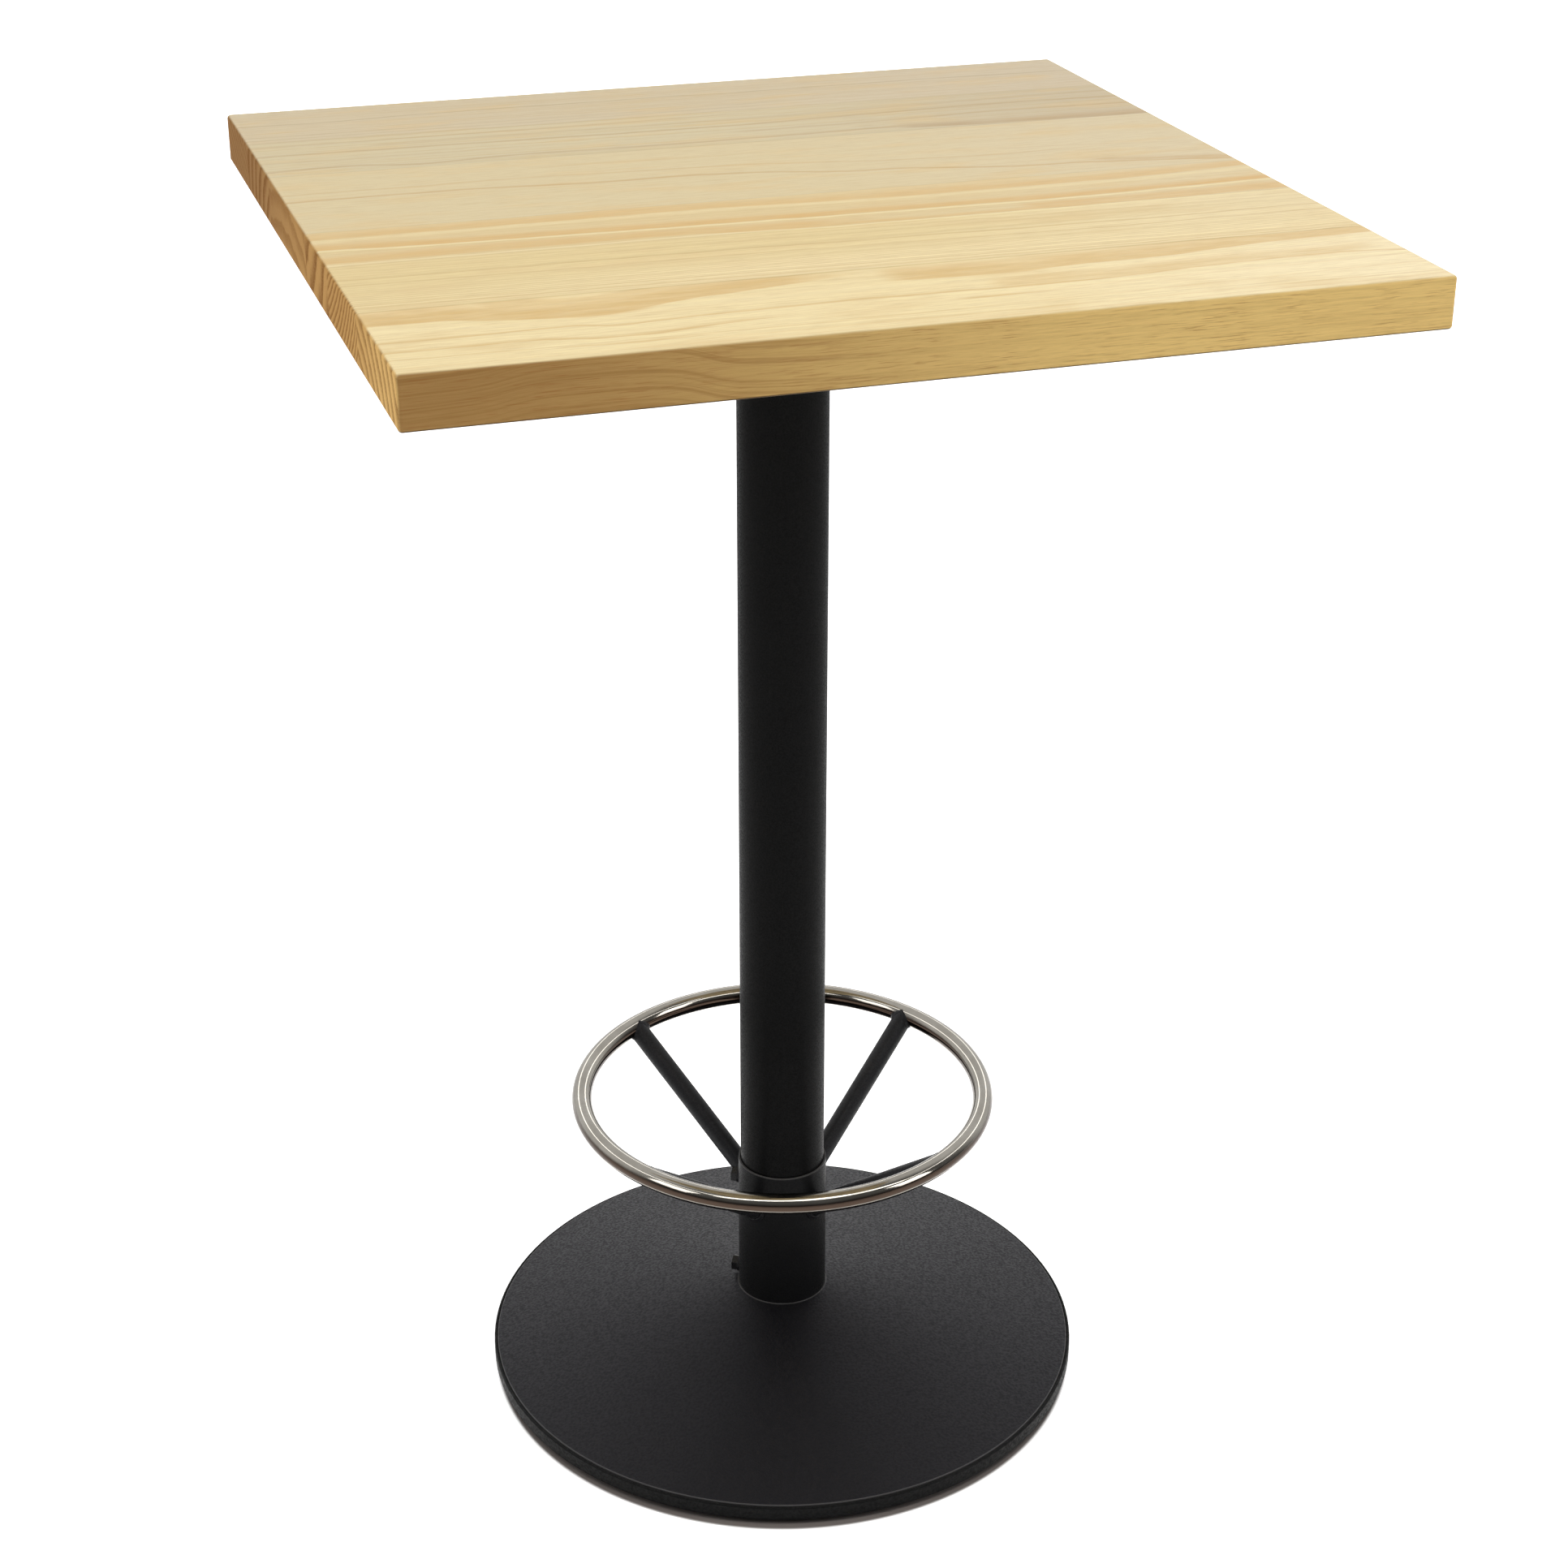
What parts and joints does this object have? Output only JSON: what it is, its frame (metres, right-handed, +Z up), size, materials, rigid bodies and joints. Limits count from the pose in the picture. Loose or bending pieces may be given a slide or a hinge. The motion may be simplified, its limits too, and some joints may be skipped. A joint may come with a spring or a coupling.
{
  "type": "pub table",
  "caption": "Square bar-height pub table: glued wooden top on a round column and weighted round base, with a foot ring that slides on the column and levelling glides underneath.",
  "frame": {"origin": "on the floor under the axis of the column", "axes": "+Z up the column, +X along the grain of the top boards, +Y from the front edge to the rear edge, which has the two equal boards"},
  "size_m": [0.762, 0.762, 1.1],
  "materials": {
    "pine": "clear satin lacquer over pale pine",
    "black_iron": "matte black powder coat over cast iron",
    "black_steel": "matte black powder coat with a fine texture",
    "polished_steel": "polished stainless steel",
    "zinc_steel": "zinc plate",
    "glide_nylon": "black nylon"
  },
  "bodies": {
    "table": {"top_board_1": "pine", "top_board_2": "pine", "top_board_3": "pine", "top_board_4": "pine", "top_board_5": "pine", "top_board_6": "pine", "top_spider": "black_iron", "spider_screws": "zinc_steel", "column_tube": "black_steel", "tie_rod": "zinc_steel", "tie_rod_nuts": "zinc_steel", "tie_rod_washers": "zinc_steel", "base_casting": "black_iron", "base_cover": "black_steel"},
    "foot_ring": {"foot_ring_collar": "black_steel", "set_bolt_bosses": "black_steel", "foot_ring_tube": "polished_steel", "foot_ring_spoke_1": "black_steel", "foot_ring_spoke_2": "black_steel", "foot_ring_spoke_3": "black_steel", "foot_ring_spoke_4": "black_steel"},
    "lower_set_bolt": {"set_bolt_lower": "black_steel"},
    "upper_set_bolt": {"set_bolt_upper": "black_steel"},
    "pad_1": {"glide_pad_1": "glide_nylon"},
    "pad_2": {"glide_pad_2": "glide_nylon"},
    "pad_3": {"glide_pad_3": "glide_nylon"},
    "pad_4": {"glide_pad_4": "glide_nylon"},
    "stem_1": {"glide_stem_1": "zinc_steel"},
    "stem_2": {"glide_stem_2": "zinc_steel"},
    "stem_3": {"glide_stem_3": "zinc_steel"},
    "stem_4": {"glide_stem_4": "zinc_steel"}
  },
  "joints": [
    {"name": "foot_ring_slide", "type": "slide", "parent": "table", "child": "foot_ring", "axis": [0, 0, 1], "range_m": [0, 0.77]},
    {"name": "lower_bolt_slide", "type": "slide", "parent": "foot_ring", "child": "lower_set_bolt", "axis": [-0.829, 0.5592, 0], "range_m": [0, 0.004]},
    {"name": "upper_bolt_slide", "type": "slide", "parent": "foot_ring", "child": "upper_set_bolt", "axis": [-0.829, 0.5592, 0], "range_m": [0, 0.004]},
    {"name": "glide_1_slide", "type": "slide", "parent": "table", "child": "pad_1", "axis": [0, 0, -1], "range_m": [0, 0.01]},
    {"name": "glide_2_slide", "type": "slide", "parent": "table", "child": "pad_2", "axis": [0, 0, -1], "range_m": [0, 0.01]},
    {"name": "glide_3_slide", "type": "slide", "parent": "table", "child": "pad_3", "axis": [0, 0, -1], "range_m": [0, 0.01]},
    {"name": "glide_4_slide", "type": "slide", "parent": "table", "child": "pad_4", "axis": [0, 0, -1], "range_m": [0, 0.01]},
    {"name": "glide_1_screw", "type": "hinge", "parent": "pad_1", "child": "stem_1", "pos_m": [0.15981, 0.15981, 0.01], "axis": [0, 0, -1], "range_deg": [0, 2881]},
    {"name": "glide_2_screw", "type": "hinge", "parent": "pad_2", "child": "stem_2", "pos_m": [-0.15981, 0.15981, 0.01], "axis": [0, 0, -1], "range_deg": [0, 2881]},
    {"name": "glide_3_screw", "type": "hinge", "parent": "pad_3", "child": "stem_3", "pos_m": [-0.15981, -0.15981, 0.01], "axis": [0, 0, -1], "range_deg": [0, 2881]},
    {"name": "glide_4_screw", "type": "hinge", "parent": "pad_4", "child": "stem_4", "pos_m": [0.15981, -0.15981, 0.01], "axis": [0, 0, -1], "range_deg": [0, 2881]}
  ],
  "couplings": [
    {"joint": "glide_1_screw", "follows": "glide_1_slide", "rad_per_m": 5026.5},
    {"joint": "glide_2_screw", "follows": "glide_2_slide", "rad_per_m": 5026.5},
    {"joint": "glide_3_screw", "follows": "glide_3_slide", "rad_per_m": 5026.5},
    {"joint": "glide_4_screw", "follows": "glide_4_slide", "rad_per_m": 5026.5}
  ]
}
